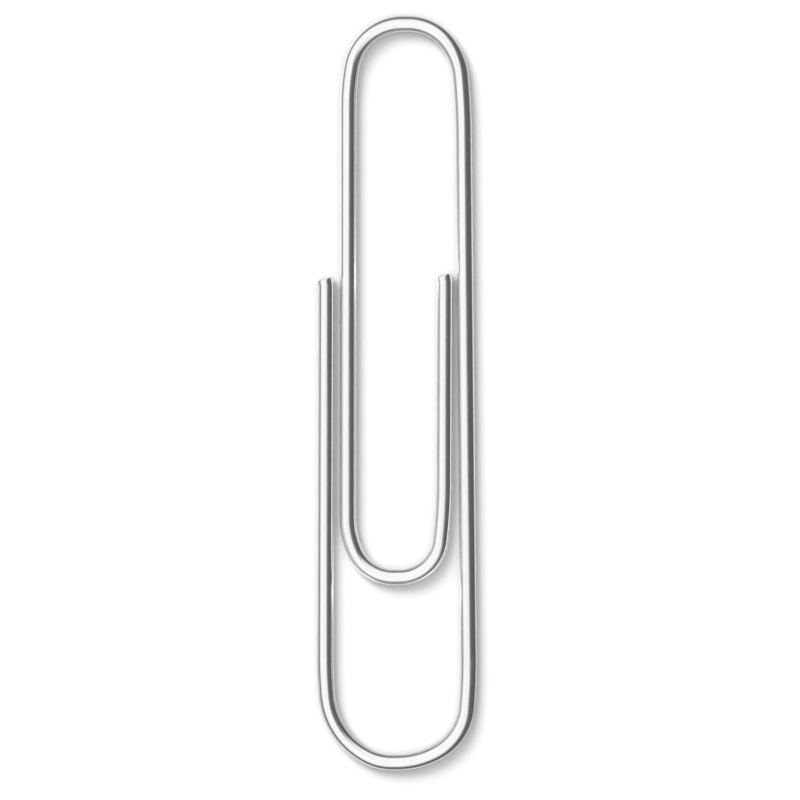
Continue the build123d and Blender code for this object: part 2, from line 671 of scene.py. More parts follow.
class HandlingMarks(SurfaceEffect):
    """Hairline scratches and small pits from handling."""

    name = "Handling marks"
    inputs = {"Scratch share": 0.5, "Pit share": 0.3}
    outputs = ("Scratches", "Pits")
    leans = ((0.9, 0.35, 0.6), (-0.5, 0.8, 1.3), (0.2, -0.4, 2.1))
    scratch_pace = (9.0, 9.0, 0.6)
    hairline = 0.012
    noise_detail = 1.0
    noise_middle = 0.5
    no_scratches = 0.8
    scratch_range = 0.4
    pits_per_mm = 4.0
    pit_size = 0.09

    def draw(self, sheet: NodeSheet, given: Sockets) -> dict[str, Socket]:
        """Draws thin lines where stretched noises cross their middle value, and spots in some cells.

        Args:
            sheet: the group's nodes.
            given: how much of the surface may carry scratches, and how many cells have a pit.

        Returns:
            Masks of the scratches and of the pits.
        """
        place = sheet.wire_place()
        scratches: Feed = 0.0
        rarity = sheet.math("MULTIPLY_ADD", given["Scratch share"], -self.scratch_range, self.no_scratches)
        for lean in self.leans:
            feeds = {"Vector": place, "Rotation": lean, "Scale": self.scratch_pace}
            stretched = sheet.noise(sheet.add("ShaderNodeMapping", feeds).outputs[0], self.noise_detail)
            off_middle = sheet.math("ABSOLUTE", sheet.math("SUBTRACT", stretched, self.noise_middle))
            line = sheet.ramp(off_middle, self.hairline, 0.0)
            patch = sheet.noise(sheet.vector("ADD", place, lean), self.noise_detail)
            wanted = sheet.math("GREATER_THAN", patch, rarity)
            scratches = sheet.math("MAXIMUM", scratches, sheet.math("MULTIPLY", line, wanted))
        cells = sheet.add("ShaderNodeTexVoronoi", {"Vector": place, "Scale": self.pits_per_mm}).outputs
        rank = sheet.add("ShaderNodeSeparateColor", {"Color": cells["Color"]}).outputs[0]
        chosen = sheet.math("LESS_THAN", rank, given["Pit share"])
        spot = sheet.ramp(cells["Distance"], self.pit_size, self.pit_size / 2)
        return {"Scratches": scratches, "Pits": sheet.math("MULTIPLY", chosen, spot)}


@dataclass(frozen=True)
class Effects:
    """The patterns that the wire's finishes share."""

    draw_lines: DrawLines = field(default_factory=DrawLines)
    mottle: PlatingMottle = field(default_factory=PlatingMottle)
    marks: HandlingMarks = field(default_factory=HandlingMarks)


@dataclass(frozen=True)
class PlatedFinish:
    """Bright plating on drawn wire.

    Colours are linear, heights are in metres and lengths of patterns in millimetres. Each share says how
    strongly a pattern shows in the roughness, and each dullness how strongly it dulls the colour.
    """

    work: Work = Work.DRAWN
    bright: Colour = (0.95, 0.955, 0.95)
    dull: Colour = (0.92, 0.925, 0.92)
    pit_colour: Colour = (0.42, 0.42, 0.41)
    cloud_dullness: float = 0.6
    streak_dullness: float = 0.4
    roughness: float = 0.09
    streak_share: float = 0.07
    mottle_share: float = 0.05
    scratch_share: float = 0.12
    line_height: float = 0.12 * MICRON
    wave_height: float = 1.4 * MICRON
    scratch_depth: float = 0.5 * MICRON
    pit_depth: float = 2.5 * MICRON
    lines_per_mm: float = 12.0
    streak_length: float = 9.0
    patch_size: float = 0.8
    wave_length: float = 2.6
    scratches: float = 0.5
    pits: float = 0.12

    def forming(self, sheet: NodeSheet) -> tuple[Feed, Feed]:
        """Straight wire carries no marks of forming: no extra roughness, and no relief."""
        return 0.0, 0.0

    def material(self, effects: Effects) -> Material:
        """Makes the material.

        Args:
            effects: the shared patterns.

        Returns:
            The new material.
        """
        made, sheet = new_material(self.work.value)
        lines = effects.draw_lines.place(
            sheet, Lines_per_mm=self.lines_per_mm, Streak_length=self.streak_length)
        mottle = effects.mottle.place(sheet, Patch_size=self.patch_size, Wave_length=self.wave_length)
        marks = effects.marks.place(sheet, Scratch_share=self.scratches, Pit_share=self.pits)
        worked, relief = self.forming(sheet)
        cloud = sheet.math("MULTIPLY", mottle["Tone"], self.cloud_dullness)
        dullness = sheet.math("MULTIPLY_ADD", lines["Streaks"], self.streak_dullness, cloud, clamp=True)
        plating = sheet.blend_colours(dullness, self.bright, self.dull)
        colour = sheet.blend_colours(marks["Pits"], plating, self.pit_colour)
        roughness: Feed = sheet.math("ADD", self.roughness, worked)
        for pattern, share in (
            (lines["Streaks"], self.streak_share),
            (mottle["Tone"], self.mottle_share),
            (marks["Scratches"], self.scratch_share),
            (marks["Pits"], self.scratch_share),
        ):
            roughness = sheet.math("MULTIPLY_ADD", pattern, share, roughness)
        normal: Feed | None = None
        for pattern, height in (
            (mottle["Waves"], self.wave_height),
            (lines["Height"], self.line_height),
            (relief, self.wave_height),
            (marks["Scratches"], -self.scratch_depth),
            (marks["Pits"], -self.pit_depth),
        ):
            if isinstance(pattern, Socket):
                normal = sheet.bump(pattern, height, normal)
        sheet.metal(colour, roughness, normal)
        return made


@dataclass(frozen=True)
class BentFinish(PlatedFinish):
    """Plating that a bend has worked: stretched to a fine peel outside, pressed by the forming pin inside.

    The starts are shares of full_strain, at which the stretching and the pressing begin to show.
    """

    work: Work = Work.BENT
    full_strain: float = 0.18
    stretch_start: float = 0.2
    press_start: float = 0.55
    peel_per_mm: Triple = (22.0, 22.0, 22.0)
    peel_roughness: float = 0.05
    peel_relief: float = 0.06
    scuff_per_mm: Triple = (3.0, 3.0, 14.0)
    scuff_range: tuple[float, float] = (0.45, 0.7)
    press_roughness: float = 0.09
    press_relief: float = 0.15

    def forming(self, sheet: NodeSheet) -> tuple[Feed, Feed]:
        """Reads how far the bend has stretched the wire and roughens it there.

        Args:
            sheet: the material's nodes.

        Returns:
            A share of extra roughness, and the relief of the peel and of the pin's marks.
        """
        strain = sheet.attribute(STRAIN_ATTRIBUTE)
        stretched = sheet.ramp(strain, self.stretch_start * self.full_strain, self.full_strain)
        pressed = sheet.ramp(strain, -self.press_start * self.full_strain, -self.full_strain)
        scuff = sheet.ramp(sheet.wire_noise(self.scuff_per_mm), *self.scuff_range)
        outside = sheet.math("MULTIPLY", stretched, sheet.wire_noise(self.peel_per_mm))
        inside = sheet.math("MULTIPLY", pressed, scuff)
        worn = sheet.math("MULTIPLY", inside, self.press_roughness)
        dents = sheet.math("MULTIPLY", inside, self.press_relief)
        roughness = sheet.math("MULTIPLY_ADD", outside, self.peel_roughness, worn)
        return roughness, sheet.math("MULTIPLY_ADD", outside, self.peel_relief, dents)


@dataclass(frozen=True)
class ShearedFinish:
    """Bare steel of a sheared end: drawn smooth where the cutter entered, and torn grain beyond."""

    work: Work = Work.SHEARED
    smooth_steel: Colour = (0.66, 0.66, 0.65)
    torn_steel: Colour = (0.36, 0.36, 0.37)
    smooth_roughness: float = 0.26
    torn_roughness: float = 0.3
    torn_range: tuple[float, float] = (0.35, 0.7)
    grain_per_mm: Triple = (26.0, 26.0, 26.0)
    grain_detail: float = 4.0
    grain_roughness: float = 0.65
    grain_height: float = 9.0 * MICRON
    line_height: float = 2.25 * MICRON
    lines_per_mm: float = 16.0
    streak_length: float = 0.05
    pits: float = 0.5
    pit_tear: float = 0.4

    def material(self, effects: Effects) -> Material:
        """Makes the material.

        Args:
            effects: the shared patterns.

        Returns:
            The new material.
        """
        made, sheet = new_material(self.work.value)
        lines = effects.draw_lines.place(
            sheet, Lines_per_mm=self.lines_per_mm, Streak_length=self.streak_length)
        marks = effects.marks.place(sheet, Pit_share=self.pits)
        grains = sheet.wire_noise(self.grain_per_mm, self.grain_detail, self.grain_roughness)
        torn = sheet.ramp(sheet.math("MULTIPLY_ADD", marks["Pits"], self.pit_tear, grains), *self.torn_range)
        colour = sheet.blend_colours(torn, self.smooth_steel, self.torn_steel)
        roughness = sheet.math("MULTIPLY_ADD", torn, self.torn_roughness, self.smooth_roughness)
        normal = sheet.bump(lines["Height"], self.line_height, sheet.bump(grains, self.grain_height))
        sheet.metal(colour, roughness, normal)
        return made


@dataclass(frozen=True)
class LegLine:
    """Line of a leg's axis seen from above: its x at a height y, and its lean to the left in degrees."""

    x: float
    y: float = 0.0
    lean: float = 0.0

    def at(self, y: float) -> float:
        """Gives the line's x at a height y."""
        return self.x - (y - self.y) * math.tan(math.radians(self.lean))


@dataclass(frozen=True)
class ShearedEnd:
    """End of the wire as the cutter leaves it.

    The cutter enters from the right, pushes the last stretch over to the left and draws the edge in on its
    own side. The metal tears on the far side. Lengths are in metres, turn and cut_from in degrees. The powers
    say how steeply the edge's rounding and the burr grow to one side, and how tear and burr fade on the face.
    """

    facing: End
    turn: float
    curl_length: float = 0.65 * MM
    entry_round: float = 0.1 * MM
    exit_round: float = 0.09 * MM
    round_power: float = 1.5
    cut_from: float = 70.0
    tear_depth: float = 0.035 * MM
    tear_start: float = 0.2
    tear_width: float = 0.5
    tear_power: int = 6
    burr: float = 0.012 * MM
    burr_power: int = 4
    burr_fade_power: int = 8
    round_steps: int = 8
    face_steps: int = 14
    grain_height: float = 0.01 * MM
    grain_waves: int = 7
    grain_paces: tuple[float, float] = (7.0, 22.0)
    grain_seed: int = 5

    @property
    def curl_radius(self) -> float:
        """Radius of the pushed-over stretch."""
        return self.curl_length / math.radians(self.turn)

    def drift(self, line: LegLine) -> np.ndarray:
        """Finds how far the pushed-over stretch rises from its leg's line, and moves to the left of it."""
        return self.curl_radius * arc_reach(line.lean, self.turn)

    def torn_relief(self, entry: np.ndarray, up: np.ndarray, share: float) -> np.ndarray:
        """Works out how far the face lies below its rim.

        Args:
            entry: each point's place from 1, where the cutter enters, to -1.
            up: each point's place from -1 to 1 above the axis.
            share: the ring's share of the face's radius.

        Returns:
            Each point's height, mostly below 0, in metres.
        """
        draws = np.random.default_rng(self.grain_seed)
        grain = np.zeros_like(entry)
        for _ in range(self.grain_waves):
            pace = draws.uniform(*self.grain_paces)
            way, phase = draws.uniform(0, math.tau), draws.uniform(0, math.tau)
            grain += np.sin(pace * (entry * math.cos(way) + up * math.sin(way)) + phase)
        torn = np.clip((self.tear_start - entry) / self.tear_width, 0, 1)
        torn = torn * torn * (3 - 2 * torn)
        inside = 1 - share**self.tear_power
        return inside * torn * (self.grain_height * grain / math.sqrt(self.grain_waves) - self.tear_depth)

    def sections(self, wire: Wire, station: Station) -> list[Section]:
        """Shapes the rounded edge and the face of the end.

        Args:
            wire: the wire that is cut.
            station: the end of its axis.

        Returns:
            The sections from the edge's start to near the middle of the face.
        """
        out = self.facing.value
        entry = station.side[0] * np.cos(wire.angles)
        height = np.sin(wire.angles)
        growth = ((entry + 1) / 2) ** self.round_power
        rounding = self.exit_round + (self.entry_round - self.exit_round) * growth
        lip = self.burr * np.clip(-entry, 0, 1) ** self.burr_power
        made = []
        for step in range(self.round_steps + 1):
            bow = math.pi / 2 * step / self.round_steps
            radii = wire.skin_radius - rounding * (1 - math.cos(bow))
            pushes = rounding * (math.sin(bow) - 1) + lip * math.sin(bow) ** self.burr_power
            made.append(Section(station, radii, out * pushes, cut=math.degrees(bow) > self.cut_from))
        rim = wire.skin_radius - rounding
        for step in range(1, self.face_steps):
            share = 1 - step / self.face_steps
            relief = self.torn_relief(entry * share, height * share, share)
            pushes = lip * share**self.burr_fade_power + relief
            made.append(Section(station, rim * share, out * pushes, cut=True))
        return made


@dataclass
class WirePiece(ABC):
    """Stretch of the wire that is one piece of the model, and the nodes that it replaces."""

    work: ClassVar[Work]
    name: str
    nodes: tuple[str, ...]

    @abstractmethod
    def lay(self, bender: Bender) -> None:
        """Lays the stretch's axis with the bender, which holds the wire where the stretch starts."""

    @abstractmethod
    def carry(self, piece: SceneObject) -> None:
        """Says which bodies carry the finished piece."""

    def surface(self, wire: Wire, stations: list[Station]) -> WireSurface:
        """Puts a round section of the wire at every station."""
        full, level = np.full(wire.facets, wire.skin_radius), np.zeros(wire.facets)
        return WireSurface(wire, [Section(station, full, level) for station in stations])

    def build(self, bender: Bender) -> SceneObject:
        """Makes the piece, on its bodies and in place of its nodes.

        Args:
            bender: the bender, which holds the wire where the piece starts.

        Returns:
            The new piece.
        """
        self.lay(bender)
        piece = self.surface(bender.wire, bender.hand_over()).make(self.name)
        self.carry(piece)
        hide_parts(*self.nodes)
        return piece

    def dress(self, piece: SceneObject, finishes: dict[Work, Material]) -> None:
        """Gives the piece the finish for its kind of work, and bare steel where it is cut."""
        for work in (self.work, Work.SHEARED):
            piece.data.materials.append(finishes[work])


@dataclass(frozen=True)
class Arc:
    """One arc of a bend: its turn in degrees, and its radius over the radius of the bend's corner."""

    turn: float
    ratio: float


@dataclass(frozen=True)
class HalfBend:
    """Half of a bend, from its crown to a leg that leans in over the bend by lean degrees.

    given holds the arc next to the crown, where there is one, and the shoulder that runs into the leg.
    """

    body: Body
    line: LegLine
    lean: float
    given: tuple[Arc, ...]

    def arcs(self) -> list[Arc]:
        """Lists the arcs from the crown out, where the corner takes up what the others leave.

        Returns:
            The arcs, in order.
        """
        *first, shoulder = self.given
        rest = QUARTER_TURN + self.lean - shoulder.turn - sum(arc.turn for arc in first)
        return [*first, Arc(rest, 1.0), shoulder]

    def reach(self) -> np.ndarray:
        """Measures the arcs, as shares of the corner's radius.

        Returns:
            How far they reach across the clip, and along it.
        """
        reach, turned = np.zeros(2), 0.0
        for arc in self.arcs():
            reach += arc.ratio * arc_reach(turned, arc.turn)
            turned += arc.turn
        return reach


@dataclass
class Bend(WirePiece):
    """Bend between two legs, with the hinge in its crown.

    rise is 1 where its legs rise from it, and -1 where they hang from it.
    """

    work = Work.BENT
    hinge: Hinge
    rise: int
    halves: tuple[HalfBend, HalfBend]
    crown_straight: float = 0.2 * MM
    twist_clear: float = 0.7 * MM

    @property
    def crown(self) -> Vector:
        """Place of the hinge."""
        return self.hinge.place

    def corner_radius(self, half: HalfBend) -> float:
        """Works out the radius of a half's corner, at which its arcs end on its leg's line.

        Args:
            half: the half.

        Returns:
            The radius in metres.
        """
        across, along = half.reach()
        wanted = abs(half.line.at(self.crown.y) - self.crown.x) - self.crown_straight
        return wanted / (across + along * math.tan(math.radians(half.lean)))

    def leg_y(self, half: HalfBend) -> float:
        """Finds the height at which a half meets its leg."""
        return self.crown.y + self.rise * half.reach()[1] * self.corner_radius(half)

    def lay(self, bender: Bender) -> None:
        """Turns the first half in from its leg, feeds the crown, and turns the second half out.

        Args:
            bender: the bender, which holds the wire at the end of the first leg.
        """
        first, second = self.halves
        for arc in reversed(first.arcs()):
            bender.turn(arc.turn, arc.ratio * self.corner_radius(first))
        bender.feed(2 * self.crown_straight)
        for arc in second.arcs():
            bender.turn(arc.turn, arc.ratio * self.corner_radius(second))

    def carry(self, piece: SceneObject) -> None:
        """Works out each half's leg line at the crown, and bakes the piece's place into its mesh; no body
        carries it.

        Args:
            piece: the finished piece.
        """
        for half in self.halves:
            x = half.line.at(self.crown.y)
            inward = math.copysign(self.twist_clear, self.crown.x - x)
            self.crown.y
            self.crown.z
        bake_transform(piece)


@dataclass
class Leg(WirePiece):
    """Straight leg between two bends, fed on to the height end_y."""

    work = Work.DRAWN
    body: Body
    end_y: float

    def lay(self, bender: Bender) -> None:
        """Feeds the leg."""
        bender.feed((self.end_y - bender.last.y) / math.sin(bender.last.heading))

    def carry(self, piece: SceneObject) -> None:
        """Rides on the leg's one body."""
        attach(piece, self.body.value)


@dataclass
class FreeLeg(Leg):
    """Leg with a sheared end."""

    cut: ShearedEnd

    def lay(self, bender: Bender) -> None:
        """Feeds the leg and turns its curled end.

        Args:
            bender: the bender, which holds the wire at the leg's tip or at its foot.
        """
        if self.cut.facing is End.OUTER:
            bender.turn(-self.cut.turn, self.cut.curl_radius)
        super().lay(bender)
        if self.cut.facing is End.INNER:
            bender.turn(self.cut.turn, self.cut.curl_radius)

    def surface(self, wire: Wire, stations: list[Station]) -> WireSurface:
        """Puts a round section at every station, and the shaped end in place of the last ones.

        Args:
            wire: the wire.
            stations: the leg's axis.

        Returns:
            The surface of the leg.
        """
        tip = stations[0] if self.cut.facing is End.OUTER else stations[-1]
        clear = self.cut.entry_round + wire.bent_step / 2
        kept = [station for station in stations if abs(station.along - tip.along) > clear]
        run = super().surface(wire, kept).sections
        shaped = self.cut.sections(wire, tip)
        sections = shaped[::-1] + run if self.cut.facing is End.OUTER else run + shaped
        return WireSurface(wire, sections, self.cut.facing)


@dataclass
class PaperClip:
    """The whole clip. Its sizes are in metres and degrees, and its crowns are the frame's hinges.

    A lean is to the left as the leg rises. The arcs of a bend's half are the one at its crown, where it has
    one, and its shoulder.
    """

    wire: Wire = Wire()
    outer_tip_gap: float = 0.345 * MM
    tongue_eye_width: float = 5.32 * MM
    inner_tip_gap: float = 0.22 * MM
    tongue_crown_shift: float = 0.055 * MM
    long_leg_lean: float = 0.53
    tongue_leg_lean: float = -0.05
    outer_leg_lean: float = -0.16
    inner_leg_lean: float = -0.2
    outer_arm_length: float = 32.56 * MM
    inner_arm_length: float = 20.55 * MM
    outer_left_arcs: tuple[Arc, ...] = (Arc(26.7, 0.68), Arc(5.3, 6.3))
    outer_right_arcs: tuple[Arc, ...] = (Arc(28.8, 1.47), Arc(5.7, 9.1))
    top_right_arcs: tuple[Arc, ...] = (Arc(50.0, 0.75), Arc(4.6, 11.0))
    top_left_arcs: tuple[Arc, ...] = (Arc(10.0, 4.4),)
    tongue_left_arcs: tuple[Arc, ...] = (Arc(24.7, 2.03),)
    tongue_right_arcs: tuple[Arc, ...] = (Arc(6.8, 11.8),)
    outer_cut: ShearedEnd = ShearedEnd(End.OUTER, turn=17.0)
    inner_cut: ShearedEnd = ShearedEnd(End.INNER, turn=18.0)

    @property
    def outer_tip_y(self) -> float:
        """Height of the outer tip, its arm's length above the lower edge of the outer bend."""
        return Hinge.OUTER.place.y - self.wire.radius + self.outer_arm_length

    @property
    def inner_tip_y(self) -> float:
        """Height of the inner tip, its arm's length above the lower edge of the tongue's bend."""
        return Hinge.TONGUE.place.y - self.wire.radius + self.inner_arm_length

    def lines(self) -> list[LegLine]:
        """Finds the lines of the legs from the tongue's crown and the gaps between them.

        Returns:
            The lines of the outer leg, the long leg, the tongue's leg and the inner leg.
        """
        width = 2 * self.wire.radius
        crown = Hinge.TONGUE.place
        outer_tip, inner_tip = self.outer_tip_y, self.inner_tip_y
        tongue = LegLine(0.0, outer_tip, self.tongue_leg_lean)
        inner = LegLine(tongue.at(inner_tip) + width + self.tongue_eye_width, inner_tip, self.inner_leg_lean)
        middle = crown.x - self.tongue_crown_shift
        tongue_line = replace(tongue, x=middle - (tongue.at(crown.y) + inner.at(crown.y)) / 2)
        inner_line = replace(inner, x=inner.x + tongue_line.x)
        outer_line = LegLine(tongue_line.x - width - self.outer_tip_gap, outer_tip, self.outer_leg_lean)
        long_line = LegLine(inner_line.x + width + self.inner_tip_gap, inner_tip, self.long_leg_lean)
        return [outer_line, long_line, tongue_line, inner_line]

    def pieces(self) -> list[WirePiece]:
        """Lists the stretches from the outer end of the wire to its inner end.

        Returns:
            Four legs and the three bends between them.
        """
        outer_line, long_line, tongue_line, inner_line = self.lines()
        outer_bend = Bend(
            "outer_bend_wire", ("outer_loop_left_half", "outer_loop_right_half"), Hinge.OUTER, 1, (
                HalfBend(Body.OUTER_ARM, outer_line, -self.outer_leg_lean, self.outer_left_arcs),
                HalfBend(Body.BACK_FRAME, long_line, self.long_leg_lean, self.outer_right_arcs)))
        top_bend = Bend(
            "top_bend_wire", ("top_loop_right_half", "top_loop_left_half"), Hinge.TOP, -1, (
                HalfBend(Body.BACK_FRAME, long_line, -self.long_leg_lean, self.top_right_arcs),
                HalfBend(Body.TONGUE, tongue_line, self.tongue_leg_lean, self.top_left_arcs)))
        tongue_bend = Bend(
            "tongue_bend_wire", ("tongue_loop_left_half", "tongue_loop_right_half"), Hinge.TONGUE, 1, (
                HalfBend(Body.TONGUE, tongue_line, -self.tongue_leg_lean, self.tongue_left_arcs),
                HalfBend(Body.INNER_ARM, inner_line, self.inner_leg_lean, self.tongue_right_arcs)))
        outer_end, long_end, tongue_end = (
            bend.leg_y(bend.halves[0]) for bend in (outer_bend, top_bend, tongue_bend))
        inner_end = self.inner_tip_y - self.inner_cut.drift(inner_line)[0]
        return [
            FreeLeg("outer_leg_wire", ("free_outer_leg",), Body.OUTER_ARM, outer_end, self.outer_cut),
            outer_bend,
            Leg("long_leg_wire", ("long_leg",), Body.BACK_FRAME, long_end),
            top_bend,
            Leg("tongue_leg_wire", ("tongue_leg",), Body.TONGUE, tongue_end),
            tongue_bend,
            FreeLeg("inner_leg_wire", ("free_inner_leg",), Body.INNER_ARM, inner_end, self.inner_cut),
        ]

    def outer_tip(self) -> Station:
        """Finds the tip of the wire's outer end, from which it runs down the outer leg.

        Returns:
            The station of the tip.
        """
        line, y = self.lines()[0], self.outer_tip_y
        rise, shift = self.outer_cut.drift(line)
        heading = math.radians(line.lean + self.outer_cut.turn - QUARTER_TURN)
        return Station(line.at(y - rise) - shift, y, heading)

    def build(self, finishes: dict[Work, Material]) -> None:
        """Builds and dresses every piece.

        Args:
            finishes: the material for each kind of work.
        """
        bender = Bender(self.wire, self.outer_tip())
        for piece in self.pieces():
            made = piece.build(bender)
            piece.dress(made, finishes)
            faces, laid = len(made.data.polygons), bender.last.along / MM
            log.info("%s: %d faces, wire laid %.2f mm", made.name, faces, laid)


@dataclass(frozen=True)
class FloorFinish:
    """Matt white table that stays white behind the clip and keeps its shadow.

    glow is its own light. returned is the share of its tone that it keeps for the rays that have met it
    before, so that the wire throws little of the table's light back on to it.
    """

    name: str = "white_table"
    tone: float = 0.95
    glow: float = 0.105
    returned: float = 0.1

    def material(self) -> Material:
        """Makes the material.

        Returns:
            A diffuse white, with a little light of its own for the camera and for reflections.
        """
        made, sheet = new_material(self.name)
        low = self.tone * self.returned
        tone = sheet.math("MULTIPLY_ADD", sheet.before_table(), self.tone - low, low)
        diffuse = sheet.add("ShaderNodeBsdfDiffuse", {"Color": tone})
        seen = sheet.math("MULTIPLY", sheet.seen_directly(), self.glow)
        glow = sheet.add("ShaderNodeEmission", {"Color": WHITE, "Strength": seen})
        sheet.show(sheet.add("ShaderNodeAddShader", {0: diffuse.outputs[0], 1: glow.outputs[0]}))
        return made


@dataclass(frozen=True)
class CardFinish:
    """Grey card that the wire mirrors, as bright at each point as its mesh says. On the table it is painted
    shade of the table.

    Of its light, the wire throws on to the table only the soft light that the surroundings give there.
    """

    name: str = "grey_card"

    def material(self) -> Material:
        """Makes the material.

        Returns:
            A glow that reads the mesh's brightness, and its soft light for rays that go on from the table.
        """
        made, sheet = new_material(self.name)
        soft = sheet.attribute(SOFT_ATTRIBUTE)
        extra = sheet.math("SUBTRACT", sheet.attribute(GLOW_ATTRIBUTE), soft)
        shown = sheet.math("MULTIPLY_ADD", sheet.before_table(), extra, soft)
        sheet.show(sheet.add("ShaderNodeEmission", {"Strength": shown}))
        return made


@dataclass(frozen=True)
class Studio:
    """White table under soft light, with cards that only reflections show.

    Lengths are in metres and angles in degrees. The glows are the painted table shade in each ring of a card
    on the table, from the clip on. ambient is what the soft light gives the table, and gather how much of it
    is overhead.
    """

    table_half_width: float = 1.4
    dome_radius: float = 0.5
    card_step: float = 3.0
    card_dark: float = 0.11
    panel_azimuth: float = 11.0
    panel_half_width: float = 14.0
    panel_height: float = 86.0
    panel_softness: float = 9.0
    panel_far_slope: float = 24.0
    panel_near_slope: float = 47.0
    rim_height: float = 11.0
    rim_softness: float = 4.5
    far_rise: float = 11.0
    far_power: int = 4
    skirt_lift: float = 0.02 * MM
    skirt_gaps: tuple[float, ...] = (0.6 * MM, 1.2 * MM, 2.5 * MM, 6.0 * MM)
    # Painted shade of the table in the cards round the clip and in its eyes, ring by ring from the clip out:
    # glows on the shaded lower right, and on the lit upper left.
    shaded_side_glows: tuple[float, ...] = (0.85, 0.5, 0.16, 0.07)
    lit_side_glows: tuple[float, ...] = (0.4, 0.74, 0.66, 0.2)
    eye_middle: float = 0.01
    # Cards of painted table shade inside the clip's eyes, each given by its lower left and upper right
    # corners.
    eyes: dict[str, tuple] = field(default_factory=lambda: {
        "top_eye_card": ((-2.7 * MM, 8.0 * MM), (3.85 * MM, 23.9 * MM)),
        "tongue_eye_card": ((-2.7 * MM, -11.65 * MM), (2.6 * MM, 7.6 * MM)),
        "mouth_eye_card": ((-4.2 * MM, -23.9 * MM), (4.2 * MM, -12.75 * MM))})
    key_azimuth: float = 128.0
    key_elevation: float = 42.0
    key_spread: float = 34.0
    key_strength: float = 2.25
    ambient: float = 0.52
    gather: float = 4.0

    @property
    def turns(self) -> np.ndarray:
        """Angles of the points round a card, from the right towards the top."""
        return np.radians(np.arange(0, 360 + self.card_step, self.card_step))

    @property
    def ways(self) -> np.ndarray:
        """Directions of the points round a card, as rows of x and y."""
        return np.stack([np.cos(self.turns), np.sin(self.turns)])

    def soft_light(self, height: float | np.ndarray) -> float | np.ndarray:
        """Gives the soft light that comes from a height, which is the sine of its angle above the table."""
        return self.ambient * (1 + self.gather / 2) * height**self.gather

    def sheet_mesh(self, name: str, rows: list, lights: dict[str, np.ndarray] | None = None) -> SceneObject:
        """Makes a stage sheet from a grid of points.

        Args:
            name: the sheet's name.
            rows: the points' places, by rows and columns.
            lights: what each point of a card gives, by rows and columns, under the attribute's name.

        Returns:
            The new object.
        """
        points = np.array(rows)
        count, width = points.shape[:2]
        corner = (np.arange(count - 1)[:, None] * width + np.arange(width - 1)[None]).ravel()
        faces = np.stack([corner, corner + 1, corner + width + 1, corner + width], 1)
        mesh = bpy.data.meshes.new(name)
        mesh.from_pydata(points.reshape(-1, 3).tolist(), [], faces.tolist())
        made = new_object(name, mesh)
        if lights:
            for attribute, values in lights.items():
                write_points(mesh, attribute, np.broadcast_to(values, (count, width)).ravel())
            made.visible_camera = False
            made.visible_diffuse = False
            made.visible_transmission = False
            made.visible_shadow = False
        mesh.update()
        return made

    def ring(self, flat: np.ndarray, height: float = 0.0) -> np.ndarray:
        """Lays a card's points, given as rows of x and y, at a height above the skirt."""
        return np.stack([*flat, np.full_like(self.turns, height + self.skirt_lift)], 1)

    def oblong(self, centre: tuple[float, float], half: tuple[float, float]) -> np.ndarray:
        """Lays a rounded oblong on the table, with half its width and half its height round a centre."""
        rounded = np.sign(self.ways) * np.sqrt(np.abs(self.ways))
        return self.ring(np.array(centre)[:, None] + np.array(half)[:, None] * rounded)

    def painted_table_shade(self, inward: int) -> np.ndarray:
        """Works out the painted shade of the rings of a card on the table: lighter towards the upper left,
        where the lamp is.

        Args:
            inward: 1 for rings round the clip, and -1 for rings inside an eye, which face the other way.

        Returns:
            An array of rings by points.
        """
        share = (1 + inward * np.sin(self.turns - math.pi / 4)) / 2
        dark, light = np.array(self.shaded_side_glows)[:, None], np.array(self.lit_side_glows)[:, None]
        return dark + (light - dark) * share

    def dome_light(self, turn: np.ndarray, rise: np.ndarray) -> np.ndarray:
        """Works out how light the dome is on the way up: dark at the rim and in a panel on the right.

        Args:
            turn: angles round the dome, from the right towards the top.
            rise: angles above the table, past 90 degrees where the way leads on over the top.

        Returns:
            An array of rises by turns, from 0 to 1.
        """
        off = (np.degrees(turn) - self.panel_azimuth + 180) % 360 - 180
        beyond = np.clip(np.abs(off) - self.panel_half_width, 0, None)
        slope = np.where(off > 0, self.panel_far_slope, self.panel_near_slope)
        panel = np.exp(-beyond / slope)
        edge = self.rim_height + (self.panel_height - self.rim_height) * panel
        edge += self.far_rise * np.clip(np.sin(turn), 0, 1) ** self.far_power
        softness = self.rim_softness + (self.panel_softness - self.rim_softness) * panel
        return 1 / (1 + np.exp((edge - np.degrees(rise)[:, None]) / softness))

    def dome_card(self) -> SceneObject:
        """Makes a skirt of painted table shade all round the clip, darker further out, and a dome that rises
        from it.

        Returns:
            The new card.
        """
        half = [(high - low) / 2 for low, high in zip(*cad_box)]
        skirt = [self.oblong((0.0, 0.0), (half[0] + gap, half[1] + gap)) for gap in self.skirt_gaps]
        turn, rises = self.turns, np.radians(np.arange(0, QUARTER_TURN, self.card_step))
        spokes, heights = self.dome_radius * np.cos(rises), self.dome_radius * np.sin(rises)
        dome = [self.ring(spoke * self.ways, height) for spoke, height in zip(spokes, heights)]
        light = np.minimum(self.dome_light(turn, rises), self.dome_light(turn + math.pi, math.pi - rises))
        glows = self.card_dark + (1 - self.card_dark) * light
        softs = np.append(np.zeros(len(skirt)), self.soft_light(np.sin(rises)))
        return self.sheet_mesh("dome_card", skirt + dome, {
            GLOW_ATTRIBUTE: np.concatenate([self.painted_table_shade(1), glows]), SOFT_ATTRIBUTE: softs[:, None]})

    def eye_shade_card(self, name: str) -> SceneObject:
        """Makes a card of painted table shade inside one of the clip's eyes, darker towards its middle.

        Args:
            name: the name of the eye.

        Returns:
            The new card.
        """
        (left, low), (right, high) = self.eyes[name]
        centre = ((left + right) / 2, (low + high) / 2)
        half = ((right - left) / 2, (high - low) / 2)
        rows = [self.oblong(centre, (half[0] - gap, half[1] - gap)) for gap in self.skirt_gaps[:-1]]
        rows.append(self.oblong(centre, (half[0] * self.eye_middle, half[1] * self.eye_middle)))
        return self.sheet_mesh(name, rows, {GLOW_ATTRIBUTE: self.painted_table_shade(-1)})

